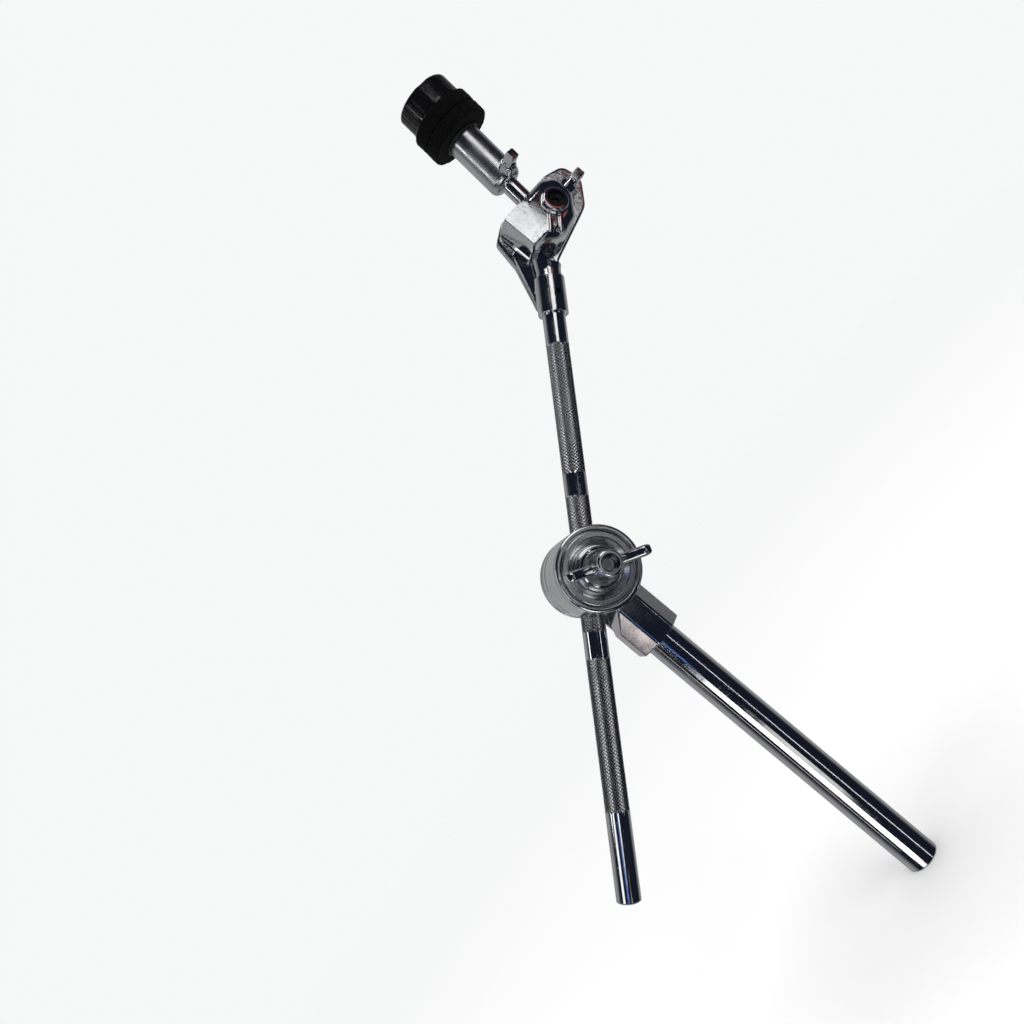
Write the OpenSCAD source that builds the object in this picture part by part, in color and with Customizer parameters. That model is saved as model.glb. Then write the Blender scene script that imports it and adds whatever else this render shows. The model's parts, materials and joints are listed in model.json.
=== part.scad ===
// Cymbal boom arm: a chrome boom rod in a round tilting clamp on a post tube,
// with a key-locked tilter that carries the spindle, seat, felts and nut for one cymbal.
// Frame: origin at the centre of the tube's lower end, +Z up the tube,
// +X towards the side the boom leans to, -Y towards the wing nut.

/* [Post] */
// Outside diameter of the post tube
tube_d = 19.05; // [18.5:0.05:19.5]
// Wall of the post tube
tube_wall = 1.6; // [1:0.1:2.5]
// Height of the clamp axis above the lower end of the tube
clamp_z = 230; // [150:1:600]

/* [Boom rod] */
// Diameter of the boom rod
rod_d = 12.7; // [12.5:0.05:12.8]
// Length of rod on the tail side of the clamp
rod_tail = 164.4; // [125:0.1:200]
// Distance from the clamp axis to the tilter neck
neck_start = 142.2; // [125:0.1:200]
// Lean of the boom from the tube
boom_angle = 44; // [36:1:60]

/* [Clamp] */
// Diameter of the round clamp
drum_d = 44.3; // [43:0.1:46]
// Distance from the rod axis to the front rim of the clamp
cap_depth = 29.2; // [27:0.1:31]
// Distance from the rod axis to the back of the bracket disc
drum_back = 18.4; // [17.5:0.1:20]
// Span of the wing nut over both wings
wing_span = 42; // [36:1:48]
// Angle of the wings below horizontal
wing_angle = 30; // [0:5:85]

/* [Tilter] */
// Distance from the end of the neck sleeve to the tilter pivot, along the boom
pivot_reach = 60.7; // [59:0.1:62]
// Sideways offset of the pivot from the rod axis
pivot_side = 6.4; // [5:0.1:7]
// Lean of the spindle from upright
spindle_lean = 5; // [0:1:8]

/* [Cymbal seat] */
// Diameter of the chrome seat sleeve
sleeve_d = 20; // [18:0.5:21]
// Length of the seat sleeve
sleeve_l = 35.4; // [30:0.2:36]
// Diameter of the felts
felt_d = 39; // [34:1:42]
// Thickness of each felt
felt_t = 8.5; // [6:0.5:10]
// Diameter of the top nut
nut_d = 34; // [30:1:36]
// Height of the top nut
nut_h = 14.3; // [14:0.1:16]

/* [Hidden] */
$fn = 64;

run = 0.05;                 // radial clearance of a running or sliding fit
tube_r = tube_d / 2;
rod_r = rod_d / 2;
drum_r = drum_d / 2;
rod_front = 4;              // the rod runs this far in front of the tube's axis

socket_flats = 28;          // across the flats of the bracket's eight-sided socket
socket_low = -50.5;         // lower end of the socket, from the clamp axis
socket_high = -18;
tube_top = -27;             // upper end of the tube inside the socket
spigot_r = tube_r - 0.2;    // the tube is turned down where it enters the socket
disc_front = -(drum_back - 4);   // front face of the bracket disc, along the clamp axis
ring_t = 0.6;               // thickness of the brake ring
body_back = disc_front + ring_t;
part_low = -5.2;            // faces of the gap between the two clamp halves
part_high = -3.8;

bolt_r = 4;                 // M8 shanks and threads
thread_r = bolt_r - run;
grip_r = 7.5;               // outside of the nylon grip around the rod
grip_l = 34;
eye_r = 10.2;               // eye of the eye bolt, around the grip
eye_l = 12;
plate_r = 18.6;
plate_low = cap_depth - 4;
plate_high = cap_depth + 0.2;
washer_high = plate_high + 1.4;
hub_high = 53;
wing_t = 3.6;

neck_r = 8.4;
neck_l = 21;
swing_r = 32.4;             // the neck stays outside this radius around the pivot
head_back = -6;             // faces of the turning head, along the pivot axis
head_front = 10;
boss_high = 14.3;
base_back = -17.5;
base_front = -7;

spindle_y = -3.5;
spindle_side = 8.4;         // distance from the pivot to the spindle axis
shank_r = 5;
shank_low = 13.4;
shank_high = 51;
sleeve_low = 25.8;
sleeve_high = sleeve_low + sleeve_l;
flange_high = sleeve_high + 1.5;
felts_high = flange_high + 2 * felt_t;
nut_low = felts_high + 0.2;
nut_high = nut_low + nut_h;
bush_r = 6;
key_flats = 5.6;            // square drive of the key screws
seat_key_z = sleeve_low + 5;
seat_key_turn = 10;

// Places the clamp's centre, where the rod axis meets the clamp axis
module at_clamp() { translate([0, -rod_front, clamp_z]) children(); }

// Local z runs along the clamp axis to the front
module on_clamp_axis() { at_clamp() rotate([90, 0, 0]) children(); }

// Local z runs up the boom rod
module along_boom() { at_clamp() rotate([0, boom_angle, 0]) children(); }

module at_pivot() {
    along_boom() translate([pivot_side, 0, neck_start + pivot_reach])
        rotate([0, -boom_angle, 0]) children();
}

// Local x and y are the upright plane of the tilter, local z runs to the front
module on_pivot() { at_pivot() rotate([90, 0, 0]) children(); }

// Local z runs up the spindle, from the pivot's height
module on_spindle() {
    at_pivot() rotate([0, spindle_lean, 0]) translate([-spindle_side, spindle_y, 0]) children();
}

// Local z runs outwards along the seat's key screw
module on_seat_key() {
    on_spindle() translate([0, 0, seat_key_z]) rotate([90, 0, seat_key_turn]) children();
}

// Local z runs outwards along the tilter's key screw
module on_tilt_key() { at_pivot() translate([0, -4, 2]) rotate([0, 90, 0]) children(); }

// A straight ring or tube between two heights
module ring(outer, inner, low, high) {
    rotate_extrude() translate([inner, low]) square([outer - inner, high - low]);
}

// A shaft with both ends broken by a small cone
module shaft(r, low, high, edge = 0.6) {
    rotate_extrude() polygon([[0, low], [r - edge, low], [r, low + edge], [r, high - edge],
                              [r - edge, high], [0, high]]);
}

module hex(flats, low, high) {
    translate([0, 0, low]) cylinder(d = flats / cos(30), h = high - low, $fn = 6);
}

// A square-drive screw: shaft, round collar and square head
module key_screw(r, tip, collar, head) {
    shaft(r, tip, collar + 0.5, 0.5);
    translate([0, 0, collar]) cylinder(r = 3.6, h = 1.4);
    translate([-key_flats / 2, -key_flats / 2, collar + 1]) cube([key_flats, key_flats, head]);
}

// ---- Fixed parts ----

module post_tube() {
    color("silver") difference() {
        union() {
            ring(tube_r, tube_r - tube_wall, 0, clamp_z + socket_low);
            ring(spigot_r, tube_r - tube_wall, clamp_z + socket_low - 1, clamp_z + tube_top);
        }
        bracket_pin_shape(1.75);
    }
}

module bracket_pin_shape(r) {
    translate([0, 0, clamp_z - 39]) rotate([-90, 0, 0]) translate([0, 0, 5]) cylinder(r = r, h = 9.2);
}

module bracket_pin() {
    color("dimgray") bracket_pin_shape(1.75);
}

// Eight-sided socket over the tube, with its tail-side shoulder cut away for the rod
module socket_block() {
    corner = socket_flats / 2;
    intersection() {
        translate([0, 0, clamp_z + socket_low]) rotate([0, 0, 22.5])
            cylinder(d = socket_flats / cos(22.5), h = socket_high - socket_low, $fn = 8);
        on_clamp_axis() translate([0, 0, disc_front - 4]) linear_extrude(40)
            polygon([[-corner - 2, socket_low - 1], [corner + 2, socket_low - 1],
                     [corner + 2, socket_high + 1], [-2, socket_high + 1], [-corner - 2, -36]]);
    }
}

module tube_bracket() {
    color("silver") difference() {
        union() {
            socket_block();
            on_clamp_axis() ring(drum_r - 0.1, bolt_r + 0.2, disc_front - 4, disc_front);
            at_clamp() translate([-11, -disc_front, -34]) cube([22, 3.4, 28]);
        }
        on_clamp_axis() translate([0, 0, disc_front]) cylinder(r = drum_r + 0.7, h = 40);
        on_clamp_axis() translate([0, 0, disc_front - 6]) cylinder(r = bolt_r + 0.2, h = 8);
        translate([0, 0, clamp_z + socket_low - 1])
            cylinder(r = spigot_r + 0.02, h = tube_top - socket_low + 1);
        bracket_pin_shape(1.75);
    }
}

module brake_ring() {
    color("saddlebrown") on_clamp_axis() ring(18, bolt_r + 1, disc_front, body_back);
}

module rear_washer() {
    color("silver") on_clamp_axis() ring(9, bolt_r + 0.3, disc_front - 5.6, disc_front - 4);
}

module rear_lock_nut() {
    color("silver") on_clamp_axis() difference() {
        intersection() {
            hex(13, disc_front - 13, disc_front - 5.6);
            translate([0, 0, disc_front - 13]) rotate_extrude()
                polygon([[0, 0], [6, 0], [7.6, 1.6], [7.6, 7.4], [0, 7.4]]);
        }
        translate([0, 0, disc_front - 14]) cylinder(r = bolt_r, h = 10);
    }
}

// ---- Tilting clamp ----

// Room for the rod, its grip and the eye of the bolt, cut across both halves
module rod_passage() {
    along_boom() {
        cylinder(r = rod_r + 0.3, h = 60, center = true);
        cylinder(r = grip_r + run, h = grip_l + 0.4, center = true);
        cylinder(r = eye_r + 0.3, h = eye_l + 0.4, center = true);
    }
}

module clamp_body() {
    color("silver") difference() {
        on_clamp_axis() rotate_extrude() polygon([
            [bolt_r + 0.3, body_back], [drum_r - 0.8, body_back], [drum_r, body_back + 0.8],
            [drum_r, part_low], [bolt_r + 0.3, part_low]]);
        rod_passage();
    }
}

module clamp_cap() {
    rim = 2;
    rim_arc = [for (a = [0 : 15 : 180])
        [drum_r - rim * 0.6 + rim * 0.6 * cos(a), cap_depth - 1.2 + 1.2 * sin(a)]];
    color("silver") difference() {
        on_clamp_axis() rotate_extrude() polygon(concat(
            [[bolt_r + 0.3, part_high], [drum_r, part_high]], rim_arc,
            [[plate_r + 1, cap_depth - 1.6], [plate_r + 1, plate_low], [bolt_r + 0.3, plate_low]]));
        rod_passage();
        on_clamp_axis() translate([0, 0, 8]) cylinder(r = 7.6, h = 13);
    }
}

// Dished plate under the wing nut, set into the front of the cap
module pressure_plate() {
    color("silver") on_clamp_axis() rotate_extrude() polygon([
        [bolt_r + 0.2, plate_low], [plate_r, plate_low], [plate_r, plate_high - 0.5],
        [plate_r - 0.5, plate_high], [15.9, plate_high], [15.4, plate_high - 0.8],
        [11.6, plate_high - 2.4], [11, plate_high - 2.2], [10.8, plate_high], [bolt_r + 0.2, plate_high]]);
}

module eye_bolt() {
    color("gray") difference() {
        union() {
            along_boom() ring(eye_r, grip_r - 1, -eye_l / 2, eye_l / 2);
            on_clamp_axis() shaft(thread_r, 8, 47.5, 1);
            on_clamp_axis() shaft(thread_r, disc_front - 14.5, -8, 1);
            on_clamp_axis() translate([0, 0, 8]) cylinder(r = 5.2, h = 3);
        }
        along_boom() cylinder(r = grip_r + run, h = 40, center = true);
        on_clamp_axis() translate([0, 0, 46.5]) cylinder(r = 1.4, h = 2);
    }
}

// Points around a coil that closes flat at both ends
function coil_point(t, turns, r, low, high) =
    [r * cos(360 * turns * t), r * sin(360 * turns * t), low + (high - low) * t];

function coil_ring(t, turns, r, low, high, wire, sides) =
    let (c = coil_point(t, turns, r, low, high), a = 360 * turns * t)
    [for (i = [0 : sides - 1]) c + wire * cos(360 * i / sides) * [cos(a), sin(a), 0]
                                 + wire * sin(360 * i / sides) * [0, 0, 1]];

module coil(turns, r, low, high, wire) {
    sides = 8;
    steps = round(turns * 20);
    rings = [for (k = [0 : steps]) coil_ring(k / steps, turns, r, low, high, wire, sides)];
    walls = [for (k = [0 : steps - 1], i = [0 : sides - 1]) let (j = (i + 1) % sides)
        [k * sides + i, (k + 1) * sides + i, (k + 1) * sides + j, k * sides + j]];
    ends = [[for (i = [0 : sides - 1]) i], [for (i = [sides - 1 : -1 : 0]) steps * sides + i]];
    polyhedron([for (ring = rings) each ring], concat(walls, ends));
}

module clamp_spring() {
    color("darkgray") on_clamp_axis() coil(4, 6.4, 12, 20, 0.8);
}

module wing_washer() {
    color("silver") on_clamp_axis() ring(9.8, bolt_r + 0.3, plate_high, washer_high);
}

module clamp_wing_nut() {
    wing_top = 52;
    color("silver") on_clamp_axis() difference() {
        union() {
            rotate_extrude() polygon([
                [0, washer_high], [10.5, washer_high], [10.5, washer_high + 1.6], [9.2, washer_high + 3],
                [7.6, washer_high + 9], [6.5, hub_high - 0.6], [5.9, hub_high], [0, hub_high]]);
            for (side = [0, 180]) rotate([0, 0, side - wing_angle]) rotate([90, 0, 0])
                translate([0, 0, -wing_t / 2]) linear_extrude(wing_t) polygon([
                    [3, washer_high + 2.4], [9, washer_high + 3], [wing_span / 2 - 3, 42],
                    [wing_span / 2, 46], [wing_span / 2, 50], [wing_span / 2 - 2, wing_top],
                    [wing_span / 2 - 5, wing_top - 1], [7, 46], [3, 46]]);
        }
        translate([0, 0, washer_high - 1]) cylinder(r = bolt_r, h = 30);
        translate([0, 0, 45]) cylinder(r = 4.8, h = 12);
    }
}

// ---- Boom rod and tilter base ----

module rod_grip() {
    color("black") along_boom() ring(grip_r, rod_r + run, -grip_l / 2, grip_l / 2);
}

module neck_pin_shape(r) {
    along_boom() translate([0, 0, neck_start + 11]) rotate([90, 0, 18])
        cylinder(r = r, h = 16.4, center = true);
}

module boom_rod() {
    color("silver") difference() {
        along_boom() shaft(rod_r, -rod_tail, neck_start + 26, 1.2);
        neck_pin_shape(1.5);
    }
}

module neck_pin() {
    color("dimgray") neck_pin_shape(1.5);
}

// One rounded corner of an outline, as points from side ab to side bc
function corner_arc(a, b, c, r) =
    let (u = (a - b) / norm(a - b), v = (c - b) / norm(c - b), half = acos(u * v) / 2,
         centre = b + (u + v) / norm(u + v) * r / sin(half),
         from = b + u * r / tan(half) - centre, to = b + v * r / tan(half) - centre,
         start = atan2(from[1], from[0]), turn = atan2(from[0] * to[1] - from[1] * to[0], from * to))
    [for (k = [0 : 5]) centre + r * [cos(start + turn * k / 5), sin(start + turn * k / 5)]];

// A closed outline through corners given as [x, y, radius]
function rounded(corners) =
    let (n = len(corners), at = [for (p = corners) [p[0], p[1]]])
    [for (i = [0 : n - 1]) each corner_arc(at[(i + n - 1) % n], at[i], at[(i + 1) % n], corners[i][2])];

// Neck over the rod end, flaring into the rear plate
module tilter_base() {
    plate = [[-33, 18, 7], [29, 17, 9], [30, 2, 7], [16, -10, 9], [-19, -20, 8], [-31, -34, 5],
        [-39, -26, 5]];
    web = [[-33, 4, 4], [-21, -6, 3], [-19, -20, 4], [-37, -39, 4], [-46, -31, 5]];
    color("silver") difference() {
        union() {
            along_boom() rotate_extrude() polygon([
                [0, neck_start], [neck_r, neck_start], [neck_r, neck_start + neck_l],
                [neck_r - 0.7, neck_start + neck_l], [neck_r + 0.2, neck_start + neck_l + 6],
                [neck_r + 3, neck_start + neck_l + 16], [0, neck_start + neck_l + 16]]);
            on_pivot() translate([0, 0, base_back])
                linear_extrude(base_front - base_back) polygon(rounded(plate));
            on_pivot() translate([0, 0, base_back + 1]) linear_extrude(14) polygon(rounded(web));
        }
        on_pivot() translate([0, 0, base_front]) cylinder(r = swing_r, h = 40);
        along_boom() translate([0, 0, neck_start - 1]) cylinder(r = rod_r + 0.02, h = 27);
        on_pivot() translate([0, 0, base_back - 1]) cylinder(r = bolt_r, h = 20);
        on_pivot() translate([-28, -7.5, base_back - 1]) cube([6, 12, 12]);
        neck_pin_shape(1.5);
    }
}

module pivot_bolt() {
    color("dimgray") on_pivot() difference() {
        union() {
            shaft(thread_r, base_back - 8, head_front, 0.6);
            translate([0, 0, head_front - 0.4]) cylinder(r = 5.2, h = 2);
        }
        hex(4, head_front + 0.2, head_front + 2);
    }
}

module pivot_lock_nut() {
    color("silver") on_pivot() difference() {
        hex(13, base_back - 6.5, base_back);
        translate([0, 0, base_back - 7]) cylinder(r = bolt_r, h = 8);
    }
}

module friction_disc() {
    color("black") on_pivot() ring(14, bolt_r, base_front, head_back);
}

// ---- Tilter head ----

// Corners of the head's upright outline, drawn in by a margin
function head_corners(margin) = [
    [-27.8 + margin, 14.5 - margin, 3], [8 - margin, 15 - margin, 6], [16 - margin, 8, 6],
    [15 - margin, -6, 8], [2, -16 + margin, 8], [-12, -16 + margin, 5], [-19, -9 + margin, 4],
    [-27.8 + margin, -9 + margin, 3]];

module head_layer(low, high, margin) {
    translate([0, 0, low]) linear_extrude(high - low) polygon(rounded(head_corners(margin)));
}

module tilter_head() {
    color("silver") difference() {
        union() {
            on_pivot() head_layer(head_back, 6, 0);
            on_pivot() head_layer(6, 8.5, 1);
            on_pivot() head_layer(8.5, 10.5, 2.5);
            on_pivot() head_layer(10.5, 12, 4.5);
            on_pivot() shaft(7.4, 0, boss_high, 0.8);
            on_tilt_key() shaft(4.6, 6, 17.5, 0.6);
        }
        on_pivot() translate([0, 0, head_back - 1]) cylinder(r = bolt_r, h = 30);
        on_pivot() translate([0, 0, head_front - 0.4]) cylinder(r = 5.4, h = 10);
        on_spindle() translate([0, 0, 5.2]) cylinder(r = bolt_r, h = 12);
        on_spindle() translate([0, 0, shank_low]) cylinder(r = shank_r + 0.3, h = 12);
        on_tilt_key() cylinder(r = 3, h = 40);
    }
}

module brake_pad() {
    color("goldenrod") on_tilt_key() shaft(2.95, 4.2, 7, 0.4);
}

module tilt_key_screw() {
    color("silver") on_tilt_key() key_screw(2.95, 7, 19, 7.2);
}

module spindle() {
    color("silver") on_spindle() {
        shaft(bolt_r, 5.2, shank_low + 1, 0.6);
        shaft(shank_r, shank_low, shank_high, 0.6);
        shaft(thread_r, shank_high - 2, nut_high - 3.5, 0.8);
    }
}

// ---- Cymbal seat ----

module seat_sleeve() {
    r = sleeve_d / 2;
    low_arc = [for (a = [-90 : 15 : 0]) [r - 4 + 4 * cos(a), sleeve_low + 4 + 4 * sin(a)]];
    color("silver") difference() {
        union() {
            on_spindle() rotate_extrude() polygon(concat([[0, sleeve_low]], low_arc,
                [[r, sleeve_high - 0.8], [r - 0.8, sleeve_high], [0, sleeve_high]]));
            on_seat_key() shaft(4.5, 6, 14, 0.5);
        }
        on_spindle() translate([0, 0, sleeve_low - 1]) cylinder(r = shank_r + run, h = sleeve_l + 2);
        on_seat_key() cylinder(r = 3, h = 20);
        on_seat_key() translate([0, 0, 12.5]) cylinder(r = 3.7, h = 4);
    }
}

module seat_key_screw() {
    color("silver") on_seat_key() key_screw(2.95, 5.3, 13.6, 7);
}

// Flanged plastic tube that keeps the cymbal off the threads
module spindle_bush() {
    color("black") on_spindle() rotate_extrude() polygon([
        [bolt_r + 0.1, sleeve_high], [11, sleeve_high], [11, flange_high], [bush_r, flange_high],
        [bush_r, felts_high - 1], [bolt_r + 0.1, felts_high - 1]]);
}

module felt(low) {
    r = felt_d / 2;
    edge = 1.2;
    rotate_extrude() polygon([[bush_r + 0.08, low], [r - edge, low], [r, low + edge],
        [r, low + felt_t - edge], [r - edge, low + felt_t], [bush_r + 0.08, low + felt_t]]);
}

module lower_felt() {
    color("black") on_spindle() felt(flange_high);
}

module upper_felt() {
    color("black") on_spindle() felt(flange_high + felt_t);
}

module nut_washer() {
    color("silver") on_spindle() ring(11, bolt_r + 0.3, felts_high, felts_high + 1.2);
}

// Domed grip nut with three scooped faces between three ribbed ones
module top_nut() {
    r = nut_d / 2;
    scoop = 16;
    top_arc = [for (a = [0 : 15 : 90]) [r - 2 + 2 * cos(a), nut_high - 2 + 2 * sin(a)]];
    color("black") on_spindle() difference() {
        rotate_extrude() polygon(concat(
            [[0, nut_low], [r - 0.5, nut_low], [r, nut_low + 0.5]], top_arc, [[0, nut_high]]));
        for (turn = [0 : 120 : 240]) rotate([0, 0, turn - 95]) translate([r + scoop - 2.6, 0, nut_low + 2])
            cylinder(r = scoop, h = nut_h);
        translate([0, 0, nut_low - 1]) cylinder(r = 11.5, h = 2);
        translate([0, 0, nut_low]) cylinder(r = bolt_r, h = nut_h - 2);
    }
}

post_tube();
tube_bracket();
bracket_pin();
brake_ring();
rear_washer();
rear_lock_nut();
clamp_body();
clamp_cap();
pressure_plate();
eye_bolt();
clamp_spring();
wing_washer();
clamp_wing_nut();
rod_grip();
boom_rod();
tilter_base();
neck_pin();
pivot_bolt();
pivot_lock_nut();
friction_disc();
tilter_head();
brake_pad();
tilt_key_screw();
spindle();
seat_sleeve();
seat_key_screw();
spindle_bush();
lower_felt();
upper_felt();
nut_washer();
top_nut();
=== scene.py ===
import json
import math
import random

import bmesh
import bpy
from mathutils import Matrix, Vector, noise


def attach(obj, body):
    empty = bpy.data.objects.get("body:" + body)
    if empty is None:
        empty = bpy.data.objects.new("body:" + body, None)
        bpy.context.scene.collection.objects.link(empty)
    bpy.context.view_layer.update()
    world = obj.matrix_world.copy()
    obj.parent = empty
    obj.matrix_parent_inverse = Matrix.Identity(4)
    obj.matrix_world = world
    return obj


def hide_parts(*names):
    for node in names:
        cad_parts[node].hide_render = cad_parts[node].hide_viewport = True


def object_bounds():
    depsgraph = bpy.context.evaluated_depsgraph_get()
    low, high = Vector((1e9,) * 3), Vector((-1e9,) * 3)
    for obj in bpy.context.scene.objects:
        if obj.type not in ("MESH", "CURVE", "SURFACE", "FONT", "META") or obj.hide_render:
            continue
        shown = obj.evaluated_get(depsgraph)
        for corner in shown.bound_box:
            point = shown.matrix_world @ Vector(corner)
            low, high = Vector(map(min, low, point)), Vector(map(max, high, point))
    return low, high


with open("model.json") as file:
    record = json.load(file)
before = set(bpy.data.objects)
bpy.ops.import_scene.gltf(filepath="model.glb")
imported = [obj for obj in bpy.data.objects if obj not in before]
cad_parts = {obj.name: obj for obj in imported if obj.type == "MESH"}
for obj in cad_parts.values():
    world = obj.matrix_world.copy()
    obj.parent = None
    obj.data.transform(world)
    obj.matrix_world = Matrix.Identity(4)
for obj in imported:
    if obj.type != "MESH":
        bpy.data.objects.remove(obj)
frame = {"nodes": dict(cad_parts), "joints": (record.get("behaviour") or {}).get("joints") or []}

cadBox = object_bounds()
nodes = frame["nodes"]
joints = {joint["name"]: joint for joint in frame["joints"]}
mm = 0.001  # pieces are drawn in millimetres, then scaled to metres
print("frame loaded:", len(nodes), "nodes")


def axisFrame(origin, zAxis, xAxis):
    # a frame in millimetres whose z runs along a joint's axis
    z = Vector(zAxis).normalized()
    x = (Vector(xAxis) - z * z.dot(Vector(xAxis))).normalized()
    return Matrix.Translation(Vector(origin) / mm) @ Matrix((x, z.cross(x), z)).transposed().to_4x4()


def along(matrix, distance):
    return matrix @ Matrix.Translation((0, 0, distance))


def turned(axis, degrees):
    return Matrix.Rotation(math.radians(degrees), 4, axis)


clampCentre = joints["boom_tilt"]["pos_m"]
boomAxis = joints["boom_slide"]["axis"]
pivotCentre = joints["cymbal_tilt"]["pos_m"]
spindleAxis = Vector(joints["nut_turn"]["axis"])
seatKeyAxis = Vector(joints["seat_key_turn"]["axis"])

rowFrame = Matrix.Identity(4)
clampFrame = axisFrame(clampCentre, (0, -1, 0), (1, 0, 0))  # x across, y up, z to the front
boomFrame = axisFrame(clampCentre, boomAxis, (1, 0, 0))
pivotFrame = axisFrame(pivotCentre, (0, -1, 0), (1, 0, 0))
spindleFrame = axisFrame(joints["nut_turn"]["pos_m"], spindleAxis, (1, 0, 0))
seatKeyFrame = axisFrame(joints["seat_key_turn"]["pos_m"], seatKeyAxis, spindleAxis.cross(seatKeyAxis))
tiltKeyFrame = axisFrame(joints["tilt_key_turn"]["pos_m"], joints["tilt_key_turn"]["axis"], (0, 0, -1))


cameraSetup = {
    "place": (-0.10413, -0.48574, 0.27835),
    "turn": (90.46, 50.10, -11.82),  # degrees; the arm is seen with the camera rolled over
    "lens": 33.15,
}

studio = {
    "backdrop": (0.93, 0.935, 0.94),
    "ahead": (0.010, 0.013, 0.024),  # what polished metal sees in front of the arm
    "behind": (0.36, 0.36, 0.365),  # and behind it
    "turnover": (0.50, 0.76),  # where one changes into the other, from front to back
    "floorTone": (0.86, 0.86, 0.86),
    "floorRadius": 1.6,
    "overhead": 2.95,
}

# name, place, aim, width and height in metres, brightness, colour
softLights = [
    ("keyBox", (0.40, -0.99, 0.62), (0.08, 0.0, 0.32), (0.50, 0.36), 1.3, (1.0, 0.99, 0.97)),
    ("rodStrip", (-0.34, -0.98, 0.22), (-0.06, 0.0, 0.18), (0.10, 0.30), 1.8, (1.0, 0.99, 0.97)),
    ("tubeStrip", (0.42, -0.80, -0.25), (0.0, 0.0, 0.1), (0.035, 0.60), 2.5, (0.95, 0.98, 1.0)),
    ("edgeStrip", (-0.92, -0.20, -0.15), (0.0, 0.0, 0.1), (0.05, 0.60), 1.0, (1.0, 0.88, 0.84)),
    ("blueCard", (-0.42, -0.83, 0.12), (0.0, 0.0, 0.23), (0.16, 0.36), 0.5, (0.16, 0.36, 1.0)),
    ("warmCard", (0.66, -0.62, 0.44), (0.0, 0.0, 0.23), (0.16, 0.22), 0.35, (0.9, 0.22, 0.14)),
    ("lowCard", (-0.23, -0.78, -0.24), (0.0, 0.0, 0.23), (0.30, 0.14), 0.9, (1.0, 0.98, 0.92)),
    ("faceCard", (0.24, -1.05, 0.16), (0.0, 0.0, 0.22), (0.30, 0.13), 0.34, (1.0, 0.99, 0.97)),
    ("sideBox", (-0.88, -0.56, 0.42), (0.0, 0.0, 0.26), (0.30, 0.50), 1.5, (1.0, 0.99, 0.97)),
    ("riseBox", (0.35, -0.62, 1.05), (0.0, 0.0, 0.28), (0.60, 0.40), 3.2, (1.0, 0.99, 0.97)),
    ("fallBox", (-0.65, -0.66, -0.30), (0.0, 0.0, 0.22), (0.50, 0.40), 2.6, (1.0, 0.98, 0.95)),
    ("nutStrip", (-0.82, -0.20, 0.92), (0.14, 0.0, 0.46), (0.14, 0.50), 2.6, (1.0, 0.99, 0.97)),
]


def makeCamera(values):
    data = bpy.data.cameras.new("camera")
    data.lens = values["lens"]
    data.sensor_width = 36
    data.clip_start = 0.01
    camera = bpy.data.objects.new("camera", data)
    camera.location = values["place"]
    camera.rotation_euler = [math.radians(angle) for angle in values["turn"]]
    bpy.context.scene.collection.objects.link(camera)
    bpy.context.scene.camera = camera


def addLight(data, place, aim):
    light = bpy.data.objects.new(data.name, data)
    light.location = place
    light.rotation_euler = (Vector(aim) - Vector(place)).to_track_quat("-Z", "Y").to_euler()
    light.visible_camera = False
    bpy.context.scene.collection.objects.link(light)
    return light


def makeSoftBox(name, place, aim, size, brightness, colour):
    data = bpy.data.lights.new(name, "AREA")
    data.shape = "RECTANGLE"
    data.size, data.size_y = size
    data.energy = brightness * math.pi * size[0] * size[1]
    data.color = colour
    addLight(data, place, aim)


def makeOverhead(strength):
    # lights the floor evenly, and stays out of the reflections
    data = bpy.data.lights.new("overhead", "SUN")
    data.energy = strength
    data.angle = math.radians(50)
    addLight(data, (0, 0, 2), (0, 0, 0)).visible_glossy = False


def makeWorld(values):
    world = bpy.data.worlds.new("studio")
    bpy.context.scene.world = world
    world.use_nodes = True
    tree = world.node_tree
    tree.nodes.clear()
    output = tree.nodes.new("ShaderNodeOutputWorld")
    seen = tree.nodes.new("ShaderNodeBackground")
    around = tree.nodes.new("ShaderNodeBackground")
    mix = tree.nodes.new("ShaderNodeMixShader")
    rays = tree.nodes.new("ShaderNodeLightPath")
    place = tree.nodes.new("ShaderNodeTexCoord")
    parts = tree.nodes.new("ShaderNodeSeparateXYZ")
    ramp = tree.nodes.new("ShaderNodeValToRGB")
    seen.inputs["Color"].default_value = (*values["backdrop"], 1)
    for stop, share, colour in zip(ramp.color_ramp.elements, values["turnover"], ("ahead", "behind")):
        stop.position = share
        stop.color = (*values[colour], 1)
    shift = tree.nodes.new("ShaderNodeMapRange")
    shift.inputs["From Min"].default_value = -1
    tree.links.new(place.outputs["Generated"], parts.inputs[0])
    tree.links.new(parts.outputs["Y"], shift.inputs["Value"])
    tree.links.new(shift.outputs["Result"], ramp.inputs["Fac"])
    tree.links.new(ramp.outputs["Color"], around.inputs["Color"])
    tree.links.new(rays.outputs["Is Camera Ray"], mix.inputs["Fac"])
    tree.links.new(around.outputs[0], mix.inputs[1])
    tree.links.new(seen.outputs[0], mix.inputs[2])
    tree.links.new(mix.outputs[0], output.inputs["Surface"])


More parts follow.
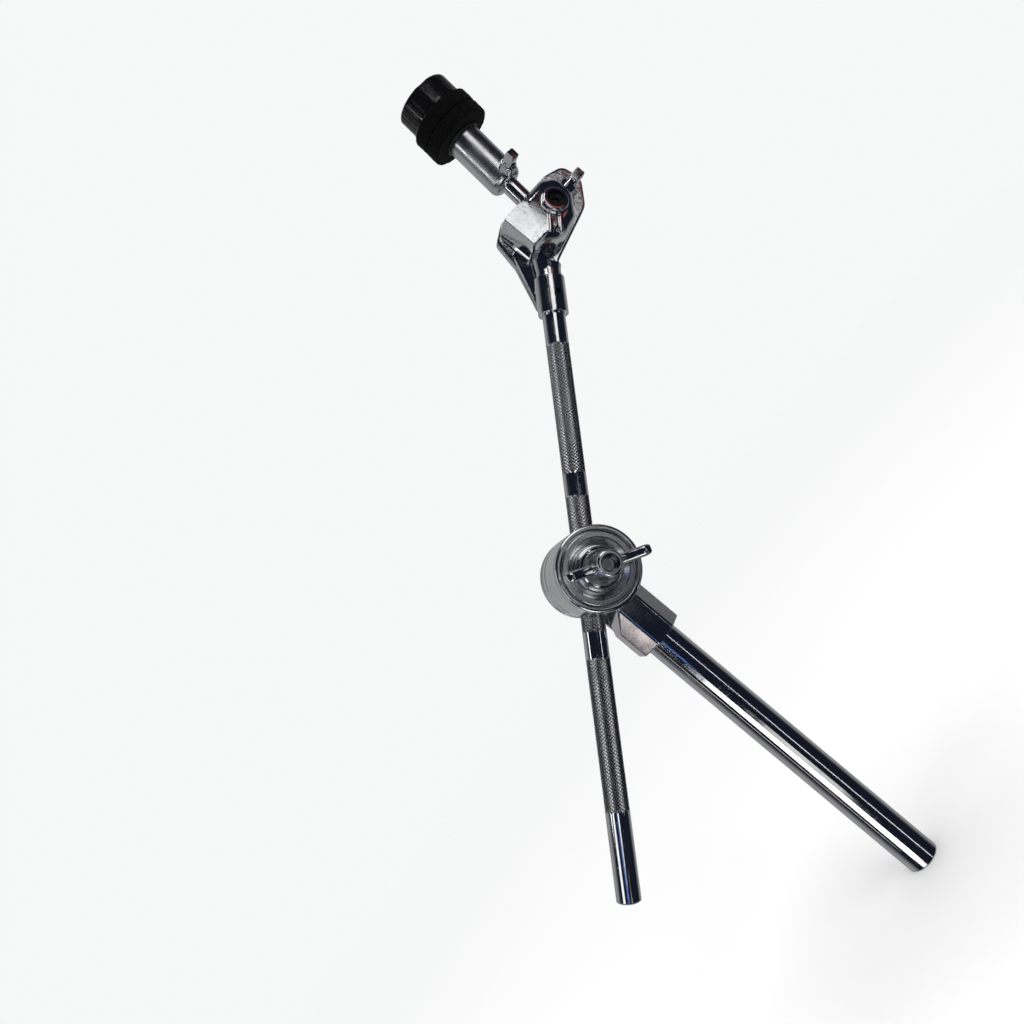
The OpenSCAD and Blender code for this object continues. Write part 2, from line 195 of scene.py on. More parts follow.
def makeFloor(values):
    bm = bmesh.new()
    bmesh.ops.create_circle(bm, cap_ends=True, segments=96, radius=values["floorRadius"])
    mesh = bpy.data.meshes.new("floor")
    bm.to_mesh(mesh)
    bm.free()
    floor = bpy.data.objects.new("floor", mesh)
    floor.location.z = cadBox[0].z - 0.0005
    bpy.context.scene.collection.objects.link(floor)
    material = bpy.data.materials.new("floorPaint")
    material.use_nodes = True
    tree = material.node_tree
    shader = tree.nodes["Principled BSDF"]
    shader.inputs["Base Color"].default_value = (*values["floorTone"], 1)
    shader.inputs["Roughness"].default_value = 0.8
    place = tree.nodes.new("ShaderNodeTexCoord")
    reach = tree.nodes.new("ShaderNodeVectorMath")
    reach.operation = "LENGTH"
    fade = tree.nodes.new("ShaderNodeMapRange")
    fade.inputs["From Min"].default_value = 0.35 * values["floorRadius"]
    fade.inputs["From Max"].default_value = 0.98 * values["floorRadius"]
    fade.inputs["To Min"].default_value = 1
    fade.inputs["To Max"].default_value = 0
    tree.links.new(place.outputs["Object"], reach.inputs[0])
    tree.links.new(reach.outputs["Value"], fade.inputs["Value"])
    tree.links.new(fade.outputs["Result"], shader.inputs["Alpha"])
    floor.data.materials.append(material)
    floor.visible_glossy = False


bpy.context.scene.view_settings.view_transform = "Standard"
makeCamera(cameraSetup)
makeWorld(studio)
makeFloor(studio)
makeOverhead(studio["overhead"])
for lightValues in softLights:
    makeSoftBox(*lightValues)
print("studio ready")


def addNode(tree, kind, inputs=None, **settings):
    node = tree.nodes.new("ShaderNode" + kind)
    for name, value in settings.items():
        setattr(node, name, value)
    for name, value in (inputs or {}).items():
        if isinstance(value, bpy.types.NodeSocket):
            tree.links.new(value, node.inputs[name])
        else:
            node.inputs[name].default_value = value
    return node


def newGroup(name, inputs, outputs):
    group = bpy.data.node_groups.new(name, "ShaderNodeTree")
    for label, kind, value in inputs:
        socket = group.interface.new_socket(label, in_out="INPUT", socket_type="NodeSocket" + kind)
        if value is not None:
            socket.default_value = value
    for label in outputs:
        group.interface.new_socket(label, in_out="OUTPUT", socket_type="NodeSocketFloat")
    start = group.nodes.new("NodeGroupInput")
    end = group.nodes.new("NodeGroupOutput")
    return group, start.outputs, end.inputs


def noiseNode(tree, vector, scale, detail=3, rough=0.55):
    return addNode(tree, "TexNoise", {"Vector": vector, "Scale": scale, "Detail": detail,
                                      "Roughness": rough}).outputs["Fac"]


def mathNode(tree, operation, a, b=0.0, clamp=False):
    return addNode(tree, "Math", {0: a, 1: b}, operation=operation, use_clamp=clamp).outputs[0]


def rangeNode(tree, value, low, high, toLow, toHigh):
    return addNode(tree, "MapRange", {"Value": value, "From Min": low, "From Max": high,
                                      "To Min": toLow, "To Max": toHigh}).outputs["Result"]


def stretched(tree, vector, scale, turn=(0, 0, 0), place=(0, 0, 0)):
    return addNode(tree, "Mapping", {"Vector": vector, "Scale": scale, "Rotation": turn,
                                     "Location": place}).outputs["Vector"]


def makeHandlingGroup():
    # smudges, fine scratches and small pits of plated metal that has been handled
    group, start, end = newGroup("handling", [
        ("Vector", "Vector", None), ("Smudge Scale", "Float", 90.0), ("Scratches", "Float", 1.0)],
        ["Smudge", "Scratch", "Pits"])
    vector = start["Vector"]
    smudge = noiseNode(group, vector, start["Smudge Scale"], 4, 0.6)
    group.links.new(rangeNode(group, smudge, 0.38, 0.72, 0, 1), end["Smudge"])
    lines = None
    for turn in ((0.4, 0.2, 0.9), (-0.7, 1.1, 0.3), (1.3, -0.5, -0.8)):
        fine = noiseNode(group, stretched(group, vector, (1500, 45, 1500), turn), 1.0, 2)
        line = rangeNode(group, fine, 0.66, 0.74, 0, 1)
        lines = line if lines is None else mathNode(group, "MAXIMUM", lines, line)
    patch = rangeNode(group, noiseNode(group, vector, 160.0, 2), 0.45, 0.65, 0, 1)
    lines = mathNode(group, "MULTIPLY", mathNode(group, "MULTIPLY", lines, patch), start["Scratches"])
    group.links.new(lines, end["Scratch"])
    cells = addNode(group, "TexVoronoi", {"Vector": vector, "Scale": 420.0, "Randomness": 1.0})
    group.links.new(rangeNode(group, cells.outputs["Distance"], 0.03, 0.09, 1, 0), end["Pits"])
    return group


def makeCastSkinGroup():
    # the soft ripple and grain that shows through plating on a cast part
    group, start, end = newGroup("castSkin", [
        ("Vector", "Vector", None), ("Ripple Scale", "Float", 260.0), ("Grain Scale", "Float", 1500.0),
        ("Grain", "Float", 0.35)], ["Height"])
    ripple = noiseNode(group, start["Vector"], start["Ripple Scale"], 2, 0.5)
    grain = noiseNode(group, start["Vector"], start["Grain Scale"], 3, 0.6)
    grain = mathNode(group, "MULTIPLY", grain, start["Grain"])
    group.links.new(mathNode(group, "ADD", ripple, grain), end["Height"])
    return group


def makeTurnedGroup():
    # rings that a lathe tool leaves; the vector's z is the turning axis
    group, start, end = newGroup("turned", [
        ("Vector", "Vector", None), ("Rings", "Float", 2600.0)], ["Height", "Shade"])
    parts = addNode(group, "SeparateXYZ", {0: start["Vector"]}).outputs
    radius = mathNode(group, "SQRT", mathNode(group, "ADD", mathNode(group, "POWER", parts["X"], 2.0),
                                             mathNode(group, "POWER", parts["Y"], 2.0)))
    ringPlace = addNode(group, "CombineXYZ", {"X": radius, "Z": parts["Z"]}).outputs[0]
    rings = noiseNode(group, ringPlace, start["Rings"], 2, 0.7)
    wide = noiseNode(group, ringPlace, mathNode(group, "MULTIPLY", start["Rings"], 0.13), 2, 0.5)
    group.links.new(rings, end["Height"])
    group.links.new(wide, end["Shade"])
    return group


def makeDustGroup():
    # specks and lint that settle on dark parts
    group, start, end = newGroup("dust", [
        ("Vector", "Vector", None), ("Speck Scale", "Float", 700.0), ("Amount", "Float", 0.5)], ["Dust"])
    cells = addNode(group, "TexVoronoi", {"Vector": start["Vector"], "Scale": start["Speck Scale"]})
    specks = rangeNode(group, cells.outputs["Distance"], 0.05, 0.16, 1, 0)
    patches = rangeNode(group, noiseNode(group, start["Vector"], 120.0, 3), 0.5, 0.7, 0, 1)
    group.links.new(mathNode(group, "MULTIPLY", mathNode(group, "MULTIPLY", specks, patches),
                             start["Amount"]), end["Dust"])
    return group


handlingGroup = makeHandlingGroup()
castSkinGroup = makeCastSkinGroup()
turnedGroup = makeTurnedGroup()
dustGroup = makeDustGroup()


def startMaterial(name, metallic, colour, roughness):
    material = bpy.data.materials.new(name)
    material.use_nodes = True
    tree = material.node_tree
    shader = tree.nodes["Principled BSDF"]
    shader.inputs["Base Color"].default_value = (*colour, 1)
    shader.inputs["Metallic"].default_value = metallic
    shader.inputs["Roughness"].default_value = roughness
    vector = addNode(tree, "TexCoord").outputs["Object"]
    return material, tree, shader, vector


def useGroup(tree, group, vector, inputs=None):
    return addNode(tree, "Group", {"Vector": vector, **(inputs or {})}, node_tree=group).outputs


def mixColour(tree, factor, a, b):
    node = addNode(tree, "Mix", data_type="RGBA")
    for socket, value in ((node.inputs[0], factor), (node.inputs[6], a), (node.inputs[7], b)):
        if isinstance(value, bpy.types.NodeSocket):
            tree.links.new(value, socket)
        else:
            socket.default_value = value if isinstance(value, float) else (*value, 1)
    return node.outputs[2]


def bumpNode(tree, height, depth, normal=None):
    # adds to the bump that is already in normal, where one is given
    node = addNode(tree, "Bump", {"Height": height, "Distance": depth})
    if normal is not None:
        tree.links.new(normal, node.inputs["Normal"])
    return node.outputs["Normal"]


plating = {
    "clean": (0.70, 0.71, 0.735),
    "dull": (0.50, 0.505, 0.52),
    # painted shade: the dark colour that the knurl's valleys are mixed towards
    "paintedValleyShade": (0.09, 0.09, 0.095),
    "roughness": 0.045,
    "smudged": 0.125,  # added to the roughness where the plating is smudged
}


def makeChrome(name, skin=0.0, rings=0.0, turnFrame=None, roughness=plating["roughness"], ripple=260.0,
               knurled=False):
    # skin and rings are bump depths in metres
    material, tree, shader, vector = startMaterial(name, 1.0, plating["clean"], plating["roughness"])
    handling = useGroup(tree, handlingGroup, vector)
    wear = mathNode(tree, "MULTIPLY", handling["Smudge"], 0.45)
    wear = mathNode(tree, "ADD", wear, mathNode(tree, "MULTIPLY", handling["Pits"], 0.5), True)
    colour = mixColour(tree, wear, plating["clean"], plating["dull"])
    if knurled:  # painted shade: the knurl's valleys are darkened by their depth
        valley = addNode(tree, "Attribute", attribute_name="valley").outputs["Fac"]
        colour = mixColour(tree, mathNode(tree, "MULTIPLY", valley, 0.75), colour, plating["paintedValleyShade"])
    tree.links.new(colour, shader.inputs["Base Color"])
    gloss = rangeNode(tree, handling["Smudge"], 0, 1, roughness, roughness + plating["smudged"])
    gloss = mathNode(tree, "ADD", gloss, mathNode(tree, "MULTIPLY", handling["Scratch"], 0.18))
    normal = bumpNode(tree, mathNode(tree, "ADD", handling["Scratch"], handling["Pits"]), -0.000012)
    if skin:
        castSkin = useGroup(tree, castSkinGroup, vector, {"Ripple Scale": ripple})
        normal = bumpNode(tree, castSkin["Height"], skin, normal)
    if rings:
        centre = turnFrame.translation * mm
        centred = stretched(tree, vector, (1, 1, 1), place=tuple(-centre))
        back = turnFrame.to_3x3().transposed().to_euler()
        marks = useGroup(tree, turnedGroup, stretched(tree, centred, (1, 1, 1), tuple(back)))
        normal = bumpNode(tree, marks["Height"], rings, normal)
        gloss = mathNode(tree, "ADD", gloss, mathNode(tree, "MULTIPLY", marks["Shade"], 0.1))
    if knurled:
        band = addNode(tree, "Attribute", attribute_name="band").outputs["Fac"]
        gloss = mathNode(tree, "ADD", gloss, mathNode(tree, "MULTIPLY", band, 0.2))
    tree.links.new(gloss, shader.inputs["Roughness"])
    tree.links.new(normal, shader.inputs["Normal"])
    return material


def makeSteel(name, light, dark, roughness):
    material, tree, shader, vector = startMaterial(name, 1.0, light, roughness)
    handling = useGroup(tree, handlingGroup, vector, {"Smudge Scale": 260.0})
    castSkin = useGroup(tree, castSkinGroup, vector, {"Ripple Scale": 900.0})
    tree.links.new(mixColour(tree, handling["Smudge"], light, dark), shader.inputs["Base Color"])
    gloss = rangeNode(tree, castSkin["Height"], 0.3, 0.9, roughness - 0.08, roughness + 0.14)
    tree.links.new(gloss, shader.inputs["Roughness"])
    normal = bumpNode(tree, castSkin["Height"], 0.00003)
    tree.links.new(bumpNode(tree, handling["Scratch"], -0.00001, normal), shader.inputs["Normal"])
    return material


def makeNylon(name, colour):
    material, tree, shader, vector = startMaterial(name, 0.0, colour, 0.5)
    grain = useGroup(tree, castSkinGroup, vector, {"Ripple Scale": 1800.0})
    dust = useGroup(tree, dustGroup, vector, {"Amount": 0.4})
    tree.links.new(mixColour(tree, dust["Dust"], colour, (0.12, 0.115, 0.11)), shader.inputs["Base Color"])
    tree.links.new(rangeNode(tree, grain["Height"], 0.3, 0.9, 0.42, 0.6), shader.inputs["Roughness"])
    tree.links.new(bumpNode(tree, grain["Height"], 0.00003), shader.inputs["Normal"])
    return material


def makeGlossPlastic(name, colour):
    material, tree, shader, vector = startMaterial(name, 0.0, colour, 0.12)
    dust = useGroup(tree, dustGroup, vector, {"Amount": 0.5, "Speck Scale": 900.0})
    handling = useGroup(tree, handlingGroup, vector, {"Smudge Scale": 140.0, "Scratches": 0.7})
    tree.links.new(mixColour(tree, dust["Dust"], colour, (0.10, 0.10, 0.10)), shader.inputs["Base Color"])
    gloss = rangeNode(tree, handling["Smudge"], 0, 1, 0.07, 0.24)
    tree.links.new(mathNode(tree, "ADD", gloss, mathNode(tree, "MULTIPLY", handling["Scratch"], 0.25)),
                   shader.inputs["Roughness"])
    castSkin = useGroup(tree, castSkinGroup, vector, {"Ripple Scale": 500.0, "Grain": 0.1})
    tree.links.new(bumpNode(tree, castSkin["Height"], 0.00002), shader.inputs["Normal"])
    shader.inputs["Coat Weight"].default_value = 0.4
    shader.inputs["Coat Roughness"].default_value = 0.06
    return material


def makeFelt(name):
    material, tree, shader, vector = startMaterial(name, 0.0, (0.010, 0.010, 0.011), 0.95)
    clumps = noiseNode(tree, vector, 700.0, 4, 0.7)
    fibres = noiseNode(tree, stretched(tree, vector, (2600, 600, 2600), (0.5, 0.8, 0.2)), 1.0, 3, 0.7)
    cross = noiseNode(tree, stretched(tree, vector, (600, 2600, 1800), (1.1, -0.4, 0.9)), 1.0, 3, 0.7)
    hairs = mathNode(tree, "MAXIMUM", fibres, cross)
    shade = rangeNode(tree, mathNode(tree, "MULTIPLY", clumps, hairs), 0.2, 0.5, 0, 1)
    dust = useGroup(tree, dustGroup, vector, {"Amount": 0.2, "Speck Scale": 500.0})
    dark = mixColour(tree, shade, (0.0015, 0.0015, 0.0017), (0.007, 0.007, 0.0075))
    tree.links.new(mixColour(tree, dust["Dust"], dark, (0.16, 0.155, 0.15)), shader.inputs["Base Color"])
    normal = bumpNode(tree, clumps, 0.00025)
    tree.links.new(bumpNode(tree, hairs, 0.00012, normal), shader.inputs["Normal"])
    shader.inputs["Specular IOR Level"].default_value = 0.15
    shader.inputs["Sheen Weight"].default_value = 0.02
    shader.inputs["Sheen Roughness"].default_value = 0.5
    return material


def makeFibreBoard(name):
    # pressed friction material: brown, flecked with brass and fibre
    material, tree, shader, vector = startMaterial(name, 0.0, (0.10, 0.06, 0.04), 0.75)
    flecks = addNode(tree, "TexVoronoi", {"Vector": vector, "Scale": 1300.0})
    grain = noiseNode(tree, vector, 1600.0, 4, 0.7)
    brown = mixColour(tree, grain, (0.05, 0.03, 0.022), (0.16, 0.10, 0.065))
    mask = rangeNode(tree, flecks.outputs["Distance"], 0.08, 0.2, 0.6, 0)
    tree.links.new(mixColour(tree, mask, brown, (0.42, 0.33, 0.16)), shader.inputs["Base Color"])
    tree.links.new(bumpNode(tree, grain, 0.00005), shader.inputs["Normal"])
    return material


finishes = {
    "tubeChrome": makeChrome("tubeChrome", skin=0.000004, ripple=60.0),
    "castChrome": makeChrome("castChrome", skin=0.00009, ripple=230.0),
    "bracketChrome": makeChrome("bracketChrome", skin=0.00002, ripple=180.0),
    "rodChrome": makeChrome("rodChrome", skin=0.000005, ripple=200.0, knurled=True),
    "clampChrome": makeChrome("clampChrome", rings=0.000004, turnFrame=clampFrame),
    "plateChrome": makeChrome("plateChrome", rings=0.00002, turnFrame=clampFrame, roughness=0.09),
    "wingChrome": makeChrome("wingChrome", skin=0.00006, ripple=330.0),
    "seatChrome": makeChrome("seatChrome", rings=0.000008, turnFrame=spindleFrame, roughness=0.17),
    "spindleChrome": makeChrome("spindleChrome", rings=0.000006, turnFrame=spindleFrame),
    "keyChrome": makeChrome("keyChrome", skin=0.00002, ripple=700.0),
    "zincSteel": makeSteel("zincSteel", (0.56, 0.57, 0.59), (0.34, 0.35, 0.37), 0.28),
    "springSteel": makeSteel("springSteel", (0.42, 0.42, 0.43), (0.2, 0.2, 0.21), 0.32),
    "darkSteel": makeSteel("darkSteel", (0.03, 0.03, 0.033), (0.016, 0.016, 0.016), 0.45),
    "padBrass": makeSteel("padBrass", (0.72, 0.56, 0.27), (0.42, 0.30, 0.13), 0.3),
    "brakeFibre": makeFibreBoard("brakeFibre"),
    "blackNylon": makeNylon("blackNylon", (0.018, 0.018, 0.019)),
    "blackFelt": makeFelt("blackFelt"),
    "nutPlastic": makeGlossPlastic("nutPlastic", (0.006, 0.006, 0.007)),
}
print("finishes made:", len(finishes))


def roundedPath(corners, closed=False, steps=5):
    # corners are (x, y, radius); each radius becomes an arc of points
    path = []
    count = len(corners)
    for index, (x, y, radius) in enumerate(corners):
        here = Vector((x, y))
        if radius == 0 or (not closed and index in (0, count - 1)):
            path.append(here)
            continue
        toLast = (Vector(corners[index - 1][:2]) - here).normalized()
        toNext = (Vector(corners[(index + 1) % count][:2]) - here).normalized()
        half = toLast.angle(toNext) / 2
        centre = here + (toLast + toNext).normalized() * radius / math.sin(half)
        first = here + toLast * radius / math.tan(half) - centre
        last = here + toNext * radius / math.tan(half) - centre
        path += [centre + first.slerp(last, step / steps) * radius for step in range(steps + 1)]
    return path


def lathe(bm, corners, segments=96, closed=False, matrix=rowFrame):
    # spins a profile of (radius, height, corner radius) round z
    path = roundedPath(corners, closed)
    verts = [bm.verts.new((radius, 0, height)) for radius, height in path]
    pairs = list(zip(verts, verts[1:])) + ([(verts[-1], verts[0])] if closed else [])
    edges = [bm.edges.new(pair) for pair in pairs]
    before = set(bm.verts)
    bmesh.ops.spin(bm, geom=verts + edges, cent=(0, 0, 0), axis=(0, 0, 1), dvec=(0, 0, 0),
                   angle=math.tau, steps=segments, use_merge=True, use_duplicate=False)
    fresh = verts + [vert for vert in bm.verts if vert not in before]
    bmesh.ops.remove_doubles(bm, verts=fresh, dist=1e-4)
    fresh = [vert for vert in fresh if vert.is_valid]
    bmesh.ops.transform(bm, matrix=matrix, verts=fresh)


def cylinder(bm, radius, low, high, matrix=rowFrame, segments=64, edge=0.0):
    corners = [(0, low, 0), (radius, low, edge), (radius, high, edge), (0, high, 0)]
    lathe(bm, corners, segments, matrix=matrix)


def insetCorners(corners, margin):
    # moves every side of an outline inwards, and tightens its corners by as much
    points = [Vector(corner[:2]) for corner in corners]
    around = math.copysign(1, sum(last.cross(here) for last, here in zip(points[-1:] + points, points)))
    moved = []
    for index, (here, corner) in enumerate(zip(points, corners)):
        radius = corner[2]
        toLast = (points[index - 1] - here).normalized()
        toNext = (points[(index + 1) % len(points)] - here).normalized()
        bulge = -math.copysign(1, toLast.cross(toNext) * around)  # 1 at an outer corner
        place = here + (toLast + toNext).normalized() * bulge * margin / math.sin(toLast.angle(toNext) / 2)
        moved.append((place.x, place.y, max(0.3, radius - bulge * margin) if radius else 0))
    return moved


def slab(bm, corners, layers, matrix=rowFrame):
    # stacks an outline in layers of (height, margin); the margin draws the outline in
    rings, fresh = [], []
    for height, margin in layers:
        path = roundedPath(insetCorners(corners, margin), True)
        verts = [bm.verts.new((*point, height)) for point in path]
        rings.append([bm.edges.new((verts[index - 1], vert)) for index, vert in enumerate(verts)])
        fresh += verts
    for low, high in zip(rings, rings[1:]):
        bmesh.ops.bridge_loops(bm, edges=low + high)
    bmesh.ops.holes_fill(bm, edges=rings[0] + rings[-1], sides=0)
    bmesh.ops.transform(bm, matrix=matrix, verts=fresh)


def dome(rise, margin, count=6):
    # layers that round a rim over: a quarter of an ellipse
    turns = [math.pi / 2 * step / count for step in range(1, count + 1)]
    return [(rise * math.sin(turn), margin * (1 - math.cos(turn))) for turn in turns]


def plateLayers(low, high, lowRise, lowMargin, highRise, highMargin):
    # a plate with both rims rounded over
    layers = [(low + lowRise - up, margin) for up, margin in reversed(dome(lowRise, lowMargin))]
    layers += [(low + lowRise, 0), (high - highRise, 0)]
    return layers + [(high - highRise + up, margin) for up, margin in dome(highRise, highMargin)]


def bar(bm, size, matrix, edge=0.0):
    made = bmesh.ops.create_cube(bm, size=1.0)["verts"]
    bmesh.ops.scale(bm, vec=size, verts=made)
    if edge:
        edges = list(dict.fromkeys(side for vert in made for side in vert.link_edges))
        made = bmesh.ops.bevel(bm, geom=edges, offset=edge, affect="EDGES", segments=3, profile=0.5,
                               material=-1, offset_type="OFFSET")["verts"]
    bmesh.ops.transform(bm, matrix=matrix, verts=made)


def newObject(name, bm):
    bmesh.ops.recalc_face_normals(bm, faces=bm.faces)
    mesh = bpy.data.meshes.new(name)
    bm.to_mesh(mesh)
    bm.free()
    piece = bpy.data.objects.new(name, mesh)
    bpy.context.scene.collection.objects.link(piece)
    return piece


def settle(piece):
    # the modifiers' result becomes the piece's own mesh
    bpy.context.view_layer.update()
    shape = piece.evaluated_get(bpy.context.evaluated_depsgraph_get())
    mesh = bpy.data.meshes.new_from_object(shape)
    piece.modifiers.clear()
    piece.data = mesh
    return piece


def cut(piece, *shapes, operation="DIFFERENCE"):
    # the solids in one shape mustn't overlap each other
    for shape in shapes:
        tool = newObject("tool", shape)
        step = piece.modifiers.new("cut", "BOOLEAN")
        step.operation = operation
        step.solver = "EXACT"
        step.object = tool
        settle(piece)
        bpy.data.objects.remove(tool)
    return piece


def stepped(bm, narrow, wide, low, step, high, matrix):
    # a bore in two widths, the wide one above the step
    lathe(bm, [(0, low, 0), (narrow, low, 0), (narrow, step, 0), (wide, step, 0), (wide, high, 0),
               (0, high, 0)], 64, matrix=matrix)


def drill(radius, low, high, matrix, segments=64):
    bm = bmesh.new()
    cylinder(bm, radius, low, high, matrix, segments)
    return bm


def cast(piece, voxel, passes):
    # fuses overlapping solids into one skin with soft fillets
    remesh = piece.modifiers.new("skin", "REMESH")
    remesh.mode = "VOXEL"
    remesh.voxel_size = voxel
    smooth = piece.modifiers.new("polish", "SMOOTH")
    smooth.factor = 0.5
    smooth.iterations = passes
    return settle(piece)


def finish(piece, finishName, body, replaced=(), sharp=35, weighted=True):
    piece.data.transform(Matrix.Scale(mm, 4))
    for polygon in piece.data.polygons:
        polygon.use_smooth = True
    if sharp:
        piece.data.set_sharp_from_angle(angle=math.radians(sharp))
    if weighted:
        step = piece.modifiers.new("normals", "WEIGHTED_NORMAL")
        step.keep_sharp = True
    piece.data.materials.clear()
    piece.data.materials.append(finishes[finishName])
    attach(piece, body)
    if replaced:
        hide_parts(*replaced)
    print("made", piece.name, len(piece.data.polygons), "faces")
    return piece


rodValues = {
    "radius": 6.35, "low": -164.4, "high": 168.2, "end": 1.2,
    "bands": [(-120.6, -43.3), (-30.5, 41.8), (53.1, 125.5)],  # knurled stretches
    "around": 44, "pitch": 0.9, "cut": 0.36, "fade": 1.2,
    "nose": ((0.93, 0.45), (0.80, 0.85), (0.62, 1.0)),  # share of the radius, share of the end's length
}


def makeBoomRod(values):
    bm = bmesh.new()
    edges = [values["low"] + values["end"]]
    for low, high in values["bands"]:
        edges += [low, high]
    edges.append(values["high"] - values["end"])
    radius = values["radius"]
    # plain stretches and bands are one tube: rings are set along it, then pressed to shape
    heights = []
    for index, (low, high) in enumerate(zip(edges, edges[1:])):
        knurled = index % 2 == 1
        count = round((high - low) / values["pitch"] / 2) * 2 if knurled else 6
        heights += [(low + (high - low) * step / count, knurled, low, high, step) for step in range(count)]
    heights.append((edges[-1], False, 0, 0, 0))
    around = values["around"]
    valleyLayer = bm.verts.layers.float.new("valley")
    bandLayer = bm.verts.layers.float.new("band")
    made = bmesh.ops.create_grid(bm, x_segments=around, y_segments=len(heights) - 1, size=0.5)["verts"]
    for vert in made:
        column = round((vert.co.x + 0.5) * around)
        row = round((vert.co.y + 0.5) * (len(heights) - 1))
        height, knurled, low, high, step = heights[row]
        depth = 0
        if knurled and (column + step) % 2 and step:
            depth = values["cut"] * min(1, (height - low) / values["fade"], (high - height) / values["fade"])
        vert[valleyLayer] = depth / values["cut"]
        vert[bandLayer] = float(knurled and step > 0)
        angle = math.tau * column / around
        vert.co = ((radius - depth) * math.cos(angle), (radius - depth) * math.sin(angle), height)
    bmesh.ops.remove_doubles(bm, verts=bm.verts, dist=1e-4)
    rims = [edge for edge in bm.edges if edge.is_boundary]
    for sign, end in ((-1, values["low"]), (1, values["high"])):
        rim = [edge for edge in rims if edge.verts[0].co.z * sign > 0]
        for size, lift in values["nose"]:
            grown = bmesh.ops.extrude_edge_only(bm, edges=rim)["geom"]
            ring = [item for item in grown if isinstance(item, bmesh.types.BMVert)]
            rim = [item for item in grown if isinstance(item, bmesh.types.BMEdge)]
            for vert in ring:
                flat = Vector((vert.co.x, vert.co.y)).normalized() * radius * size
                vert.co = (*flat, end - sign * values["end"] * (1 - lift))
        bmesh.ops.holes_fill(bm, edges=rim, sides=around)
    knurls = [face for face in bm.faces if len(face.verts) == 4]
    bmesh.ops.triangulate(bm, faces=knurls, quad_method="SHORT_EDGE", ngon_method="BEAUTY")
    bmesh.ops.transform(bm, matrix=boomFrame, verts=bm.verts)
    return finish(newObject("knurledRod", bm), "rodChrome", "boom", ["boom_rod"],
                  sharp=12, weighted=False)


clampValues = {
    "radius": 22.15, "boltHole": 4.3, "back": -13.8, "gapLow": -2.2, "gapHigh": -0.8,
    "front": 29.2, "plateRadius": 19.6, "plateLow": 25.2, "rodHole": 6.65, "groove": 0.5,
}


def grooveCorners(radius, at, width, depth):
    # a shallow turned groove, walked upwards along the wall
    half = width / 2
    return [(radius, at - half - 0.25, 0.2), (radius - depth, at - half, 0.1),
            (radius - depth, at + half, 0.1), (radius, at + half + 0.25, 0.2)]


def makeClampHalves(values):
    r, hole = values["radius"], values["boltHole"]
    bm = bmesh.new()
    corners = [(hole, values["back"], 0), (r - 0.2, values["back"], 0.9)]
    corners += grooveCorners(r, values["back"] + 3.2, 0.5, values["groove"])
    corners += [(r, values["gapLow"], 0.35), (hole, values["gapLow"], 0)]
    lathe(bm, corners, 160, True, clampFrame)
    body = cut(newObject("clampRear", bm), drill(values["rodHole"], -40, 40, boomFrame))
    finish(body, "clampChrome", "clamp", ["clamp_body"])
    bm = bmesh.new()
    corners = [(hole, values["gapHigh"], 0), (r, values["gapHigh"], 0.35)]
    corners += grooveCorners(r, values["front"] - 4.6, 0.5, values["groove"])
    corners += [(r, values["front"], 1.2), (values["plateRadius"], values["front"], 0.5),
                (values["plateRadius"], values["plateLow"], 0.2), (hole, values["plateLow"], 0)]
    lathe(bm, corners, 160, True, clampFrame)
    cap = cut(newObject("clampFront", bm), drill(values["rodHole"], -40, 40, boomFrame))
    finish(cap, "clampChrome", "clamp", ["clamp_cap"])


plateValues = {"outer": 18.6, "ring": 15.9, "dish": 11.4, "hole": 4.2, "low": 25.2, "high": 29.4}


def makePressurePlate(values):
    bm = bmesh.new()
    low, high = values["low"], values["high"]
    lathe(bm, [(values["hole"], low, 0), (values["outer"], low, 0.3), (values["outer"], high, 0.5),
               (values["ring"], high, 0.25), (values["ring"] - 0.4, high - 0.9, 0.3),
               (values["dish"] + 0.5, high - 2.3, 0.8), (values["dish"] - 0.5, high - 2.1, 0.4),
               (values["dish"] - 0.8, high, 0.25), (values["hole"], high, 0)], 144, True, clampFrame)
    finish(newObject("dishedPlate", bm), "plateChrome", "clamp", ["pressure_plate"])


wingValues = {
    "base": 30.8, "top": 53, "flange": 10.5, "span": 22.2, "tilt": 30, "thick": 5.4, "bore": 4.7,
    "boltHole": 4.05, "boreLow": 45, "voxel": 0.3, "polish": 5,
}


def makeWingNut(values):
    bm = bmesh.new()
    low, top = values["base"], values["top"]
    lathe(bm, [(0, low, 0), (values["flange"], low, 0.5), (values["flange"], low + 1.7, 0.7),
               (9.0, low + 2.8, 0.8), (7.6, low + 9, 3), (6.5, top - 1, 2), (6.2, top, 0.8), (0, top, 0)],
          96, False, clampFrame)
    span = values["span"]
    blade = [(2, low + 3, 0), (9.2, low + 3.2, 1), (span - 4, 40.5, 4), (span, 45, 3), (span, 50.5, 2.2),
             (span - 3.5, 52, 2.5), (11, 48.5, 4), (7, 46.5, 1), (2, 46.5, 0)]
    half = values["thick"] / 2
    layers = plateLayers(-half, half, half * 0.6, 2.4, half * 0.6, 2.4)
    for side in (0, 180):
        stand = turned("Z", side - values["tilt"]) @ turned("X", 90)
        slab(bm, blade, layers, clampFrame @ stand)
    nut = cast(newObject("castWingNut", bm), values["voxel"], values["polish"])
    cut(nut, drill(values["bore"], values["boreLow"], top + 5, clampFrame),
        drill(values["boltHole"], low - 5, values["boreLow"] + 1, clampFrame))
    finish(nut, "wingChrome", "wing_nut", ["clamp_wing_nut"], sharp=50)


sleeveValues = {
    "radius": 10, "low": 25.8, "high": 61.2, "bore": 5.05, "bossRadius": 4.5, "bossHigh": 14,
    "keyHole": 3.0, "keySink": 3.75, "sinkLow": 12.4,
}


